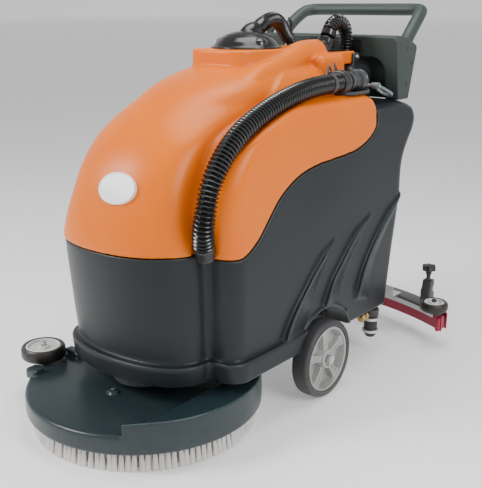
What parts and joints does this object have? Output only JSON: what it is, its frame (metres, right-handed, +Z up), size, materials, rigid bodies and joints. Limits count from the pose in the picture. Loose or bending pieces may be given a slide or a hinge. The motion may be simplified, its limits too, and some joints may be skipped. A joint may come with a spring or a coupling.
{
  "type": "walk-behind floor scrubber-dryer",
  "caption": "Battery walk-behind floor scrubber with one round brush deck, tilting recovery tank, rear vacuum squeegee and hooped push handle",
  "frame": {"origin": "on the floor plane, at the middle of the overall box", "axes": "+Z up, +Y from the brush deck at the front to the handle at the rear, +X towards the machine's left as seen from the front"},
  "size_m": [0.768, 1.2415, 0.955],
  "materials": {
    "body_plastic": "satin moulded, light grain",
    "tank_plastic": "satin moulded",
    "deck_paint": "satin",
    "console_plastic": "matte grained",
    "gloss_black": "gloss",
    "black_plastic": "satin",
    "hose_plastic": "satin, ribbed",
    "tyre_rubber": "matte",
    "roller_rubber": "matte",
    "blade_rubber": "satin",
    "rim_metal": "silver paint",
    "bright_steel": "brushed",
    "zinc_steel": "zinc plated",
    "motor_paint": "satin",
    "brass": "turned",
    "bristle": "bundled filament",
    "white_plastic": "satin",
    "silver_plastic": "satin silver",
    "button_green": "gloss"
  },
  "bodies": {
    "machine": {"solution_tank": "body_plastic", "chassis_frame": "zinc_steel", "wheel_axle": "bright_steel", "console_housing": "console_plastic", "handle_bar": "console_plastic", "control_panel": "gloss_black", "label_plate": "gloss_black", "battery_left": "black_plastic", "battery_right": "black_plastic", "vacuum_motor": "motor_paint", "vacuum_cover": "black_plastic", "water_filter": "black_plastic", "brass_valve": "brass", "hose_coupling": "black_plastic", "hinge_pin_left": "bright_steel", "hinge_pin_right": "bright_steel", "vacuum_hose": "hose_plastic", "pickup_hose_upper": "hose_plastic", "pickup_hose_lower": "hose_plastic"},
    "recovery_tank_unit": {"recovery_tank": "tank_plastic", "drain_hose": "hose_plastic", "hose_holder": "black_plastic", "inlet_collar": "gloss_black", "badge": "silver_plastic", "tank_lid": "gloss_black"},
    "drain_plug": {"drain_cap": "black_plastic"},
    "fill_plug": {"fill_cap": "black_plastic"},
    "deck_unit": {"brush_deck": "deck_paint", "gearbox": "motor_paint", "brush_motor": "motor_paint"},
    "brush": {"brush_plate": "black_plastic", "bristle_ring": "bristle"},
    "deck_roller": {"deck_roller_hub": "white_plastic", "deck_roller_tyre": "roller_rubber"},
    "pedal": {"lift_pedal": "black_plastic"},
    "left_wheel": {"wheel_rim_left": "rim_metal", "tyre_left": "tyre_rubber"},
    "right_wheel": {"wheel_rim_right": "rim_metal", "tyre_right": "tyre_rubber"},
    "left_caster": {"caster_fork_left": "zinc_steel"},
    "right_caster": {"caster_fork_right": "zinc_steel"},
    "left_caster_wheel": {"caster_wheel_left": "roller_rubber"},
    "right_caster_wheel": {"caster_wheel_right": "roller_rubber"},
    "arm": {"squeegee_arm": "zinc_steel", "swivel_bolt": "bright_steel"},
    "squeegee": {"squeegee_carrier": "zinc_steel", "squeegee_body": "black_plastic", "blade_front": "blade_rubber", "blade_rear": "blade_rubber"},
    "left_roller": {"squeegee_roller_left_hub": "white_plastic", "squeegee_roller_left_tyre": "roller_rubber"},
    "right_roller": {"squeegee_roller_right_hub": "white_plastic", "squeegee_roller_right_tyre": "roller_rubber"},
    "left_knob": {"squeegee_knob_left": "black_plastic"},
    "right_knob": {"squeegee_knob_right": "black_plastic"},
    "lift_lever": {"squeegee_lever": "black_plastic"},
    "latch": {"tank_latch": "silver_plastic"},
    "brush_switch": {"brush_button": "button_green"},
    "vacuum_switch": {"vacuum_button": "button_green"},
    "key": {"key_switch": "bright_steel"}
  },
  "joints": [
    {"name": "recovery_tank_tilt", "type": "hinge", "parent": "machine", "child": "recovery_tank_unit", "pos_m": [0, 0.3193, 0.82], "axis": [-1, 0, 0], "range_deg": [0, 35], "deforming": ["vacuum_hose", "pickup_hose_upper"]},
    {"name": "deck_roller_spin", "type": "hinge", "parent": "deck_unit", "child": "deck_roller", "pos_m": [-0.276, -0.4247, 0.125], "axis": [0, 0, 1], "continuous": true},
    {"name": "drain_cap_twist", "type": "hinge", "parent": "recovery_tank_unit", "child": "drain_plug", "pos_m": [0.212, 0.1838, 0.768], "axis": [0, 1, 0], "range_deg": [0, 90]},
    {"name": "fill_cap_twist", "type": "hinge", "parent": "machine", "child": "fill_plug", "pos_m": [-0.12, 0.4303, 0.51], "axis": [0, 1, 0], "range_deg": [0, 90]},
    {"name": "deck_lift", "type": "slide", "parent": "machine", "child": "deck_unit", "axis": [0, 0, 1], "range_m": [0, 0.02]},
    {"name": "brush_spin", "type": "hinge", "parent": "deck_unit", "child": "brush", "pos_m": [0, -0.3407, 0.07], "axis": [0, 0, 1], "continuous": true},
    {"name": "pedal_turn", "type": "hinge", "parent": "machine", "child": "pedal", "pos_m": [-0.168, 0.3473, 0.122], "axis": [-1, 0, 0], "range_deg": [0, 20]},
    {"name": "left_wheel_spin", "type": "hinge", "parent": "machine", "child": "left_wheel", "pos_m": [0.268, 0.0143, 0.1], "axis": [1, 0, 0], "continuous": true},
    {"name": "right_wheel_spin", "type": "hinge", "parent": "machine", "child": "right_wheel", "pos_m": [-0.268, 0.0143, 0.1], "axis": [1, 0, 0], "continuous": true},
    {"name": "left_caster_swivel", "type": "hinge", "parent": "machine", "child": "left_caster", "pos_m": [0.125, 0.2443, 0.12], "axis": [0, 0, 1], "continuous": true},
    {"name": "left_caster_spin", "type": "hinge", "parent": "left_caster", "child": "left_caster_wheel", "pos_m": [0.125, 0.2743, 0.04], "axis": [1, 0, 0], "continuous": true},
    {"name": "left_roller_spin", "type": "hinge", "parent": "squeegee", "child": "left_roller", "pos_m": [0.344, 0.4793, 0.12], "axis": [0, 0, 1], "continuous": true},
    {"name": "left_knob_turn", "type": "hinge", "parent": "squeegee", "child": "left_knob", "pos_m": [0.3, 0.5233, 0.2], "axis": [0, 0, 1], "range_deg": [0, 90]},
    {"name": "right_caster_swivel", "type": "hinge", "parent": "machine", "child": "right_caster", "pos_m": [-0.125, 0.2443, 0.12], "axis": [0, 0, 1], "continuous": true},
    {"name": "right_caster_spin", "type": "hinge", "parent": "right_caster", "child": "right_caster_wheel", "pos_m": [-0.125, 0.2743, 0.04], "axis": [1, 0, 0], "continuous": true},
    {"name": "right_roller_spin", "type": "hinge", "parent": "squeegee", "child": "right_roller", "pos_m": [-0.344, 0.4793, 0.12], "axis": [0, 0, 1], "continuous": true},
    {"name": "right_knob_turn", "type": "hinge", "parent": "squeegee", "child": "right_knob", "pos_m": [-0.3, 0.5233, 0.2], "axis": [0, 0, 1], "range_deg": [0, 90]},
    {"name": "squeegee_lift", "type": "hinge", "parent": "machine", "child": "arm", "pos_m": [0, 0.2993, 0.116], "axis": [-1, 0, 0], "range_deg": [0, 9.3], "deforming": ["pickup_hose_lower"]},
    {"name": "squeegee_swing", "type": "hinge", "parent": "arm", "child": "squeegee", "pos_m": [0, 0.4593, 0.11], "axis": [0, 0, 1], "range_deg": [-6, 6]},
    {"name": "lift_lever_turn", "type": "hinge", "parent": "machine", "child": "lift_lever", "pos_m": [-0.239, 0.4393, 0.78], "axis": [-1, 0, 0], "range_deg": [0, 40]},
    {"name": "latch_turn", "type": "hinge", "parent": "machine", "child": "latch", "pos_m": [0.224, 0.2993, 0.75], "axis": [1, 0, 0], "range_deg": [0, 40]},
    {"name": "brush_button_press", "type": "slide", "parent": "machine", "child": "brush_switch", "axis": [0, -0.4356, -0.9002], "range_m": [0, 0.0025], "stiffness_N_per_m": 300},
    {"name": "vacuum_button_press", "type": "slide", "parent": "machine", "child": "vacuum_switch", "axis": [0, -0.4356, -0.9002], "range_m": [0, 0.0025], "stiffness_N_per_m": 300},
    {"name": "key_turn", "type": "hinge", "parent": "machine", "child": "key", "pos_m": [0.02, 0.4703, 0.857], "axis": [0, 0.4356, 0.9002], "range_deg": [-90, 0]}
  ],
  "couplings": [
    {"joint": "pedal_turn", "follows": "deck_lift", "rad_per_m": 17},
    {"joint": "lift_lever_turn", "follows": "squeegee_lift", "ratio": 4}
  ]
}
